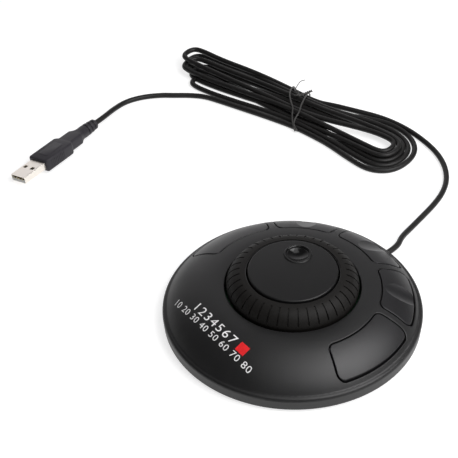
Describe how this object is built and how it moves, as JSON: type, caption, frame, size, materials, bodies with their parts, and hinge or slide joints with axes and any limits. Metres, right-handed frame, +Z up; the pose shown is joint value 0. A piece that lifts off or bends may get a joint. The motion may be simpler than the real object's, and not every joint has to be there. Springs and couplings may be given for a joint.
{
  "type": "desk jog and shuttle control knob",
  "caption": "Low domed desk control with a free-turning dial inside a sprung ribbed ring, push buttons in an arc round the rear, and a thin cord tied in a hank that ends in a USB-A plug.",
  "frame": {"origin": "on the desk under the middle of the puck", "axes": "+Z up along the dial's axis, +Y to the rear where the cord leaves, -Y towards the user, +X to the user's right"},
  "size_m": [0.3126, 0.2365, 0.0343],
  "materials": {
    "cover": "fine moulded texture",
    "base_plate": "matte",
    "foot_rubber": "matte",
    "steel": "zinc plated",
    "board": "solder mask",
    "chip": "moulded",
    "board_parts": "satin",
    "connector": "moulded",
    "wire": "insulation",
    "switch": "moulded",
    "inner_plastic": "moulded",
    "inner_white": "moulded acetal",
    "dial": "satin",
    "grip_rubber": "matte",
    "carrier": "satin",
    "button": "satin",
    "cord_jacket": "satin",
    "tie": "satin",
    "plug_metal": "nickel plated",
    "tongue": "moulded",
    "contacts": "gold plated",
    "overmould": "fine texture"
  },
  "bodies": {
    "base": {"top_cover": "cover", "bottom_cover": "base_plate", "rubber_feet": "foot_rubber", "case_screws": "steel", "board_screws": "steel", "hub_screws": "steel", "main_board": "board", "micro_controller": "chip", "small_board_parts": "board_parts", "board_socket": "connector", "cord_connector": "connector", "cord_grommet": "cord_jacket", "lead_wires": "wire", "switch_bodies": "switch", "hub_frame": "inner_plastic", "thrust_washer": "inner_white", "retaining_ring": "steel", "encoder_body": "steel", "encoder_nut": "steel", "light_gates": "switch", "centring_spring": "steel", "cord_device_side": "cord_jacket", "cord_hank": "cord_jacket", "cord_plug_side": "cord_jacket", "twist_tie": "tie", "plug_shell": "plug_metal", "plug_tongue": "tongue", "plug_contacts": "contacts", "plug_overmould": "overmould"},
    "jog": {"jog_dial": "dial", "encoder_shaft": "steel"},
    "shuttle": {"shuttle_grip": "grip_rubber", "shuttle_carrier": "carrier", "code_ring": "inner_plastic"},
    "button_1": {"button_cap_1": "button", "switch_stem_1": "inner_white"},
    "button_2": {"button_cap_2": "button", "switch_stem_2": "inner_white"},
    "button_3": {"button_cap_3": "button", "switch_stem_3": "inner_white"},
    "button_4": {"button_cap_4": "button", "switch_stem_4": "inner_white"},
    "button_5": {"button_cap_5": "button", "switch_stem_5": "inner_white"}
  },
  "joints": [
    {"name": "jog_turn", "type": "hinge", "parent": "base", "child": "jog", "pos_m": [0, 0, 0.0246], "axis": [0, 0, 1], "continuous": true},
    {"name": "shuttle_turn", "type": "hinge", "parent": "base", "child": "shuttle", "pos_m": [0, 0, 0.019], "axis": [0, 0, 1], "range_deg": [-65, 65], "stiffness_Nm_per_rad": 0.05, "deforming": ["centring_spring"]},
    {"name": "button_1_press", "type": "slide", "parent": "base", "child": "button_1", "axis": [0, 0, -1], "range_m": [0, 0.0008], "stiffness_N_per_m": 500, "springref_m": -0.001},
    {"name": "button_2_press", "type": "slide", "parent": "base", "child": "button_2", "axis": [0, 0, -1], "range_m": [0, 0.0008], "stiffness_N_per_m": 500, "springref_m": -0.001},
    {"name": "button_3_press", "type": "slide", "parent": "base", "child": "button_3", "axis": [0, 0, -1], "range_m": [0, 0.0008], "stiffness_N_per_m": 500, "springref_m": -0.001},
    {"name": "button_4_press", "type": "slide", "parent": "base", "child": "button_4", "axis": [0, 0, -1], "range_m": [0, 0.0008], "stiffness_N_per_m": 500, "springref_m": -0.001},
    {"name": "button_5_press", "type": "slide", "parent": "base", "child": "button_5", "axis": [0, 0, -1], "range_m": [0, 0.0008], "stiffness_N_per_m": 500, "springref_m": -0.001}
  ]
}
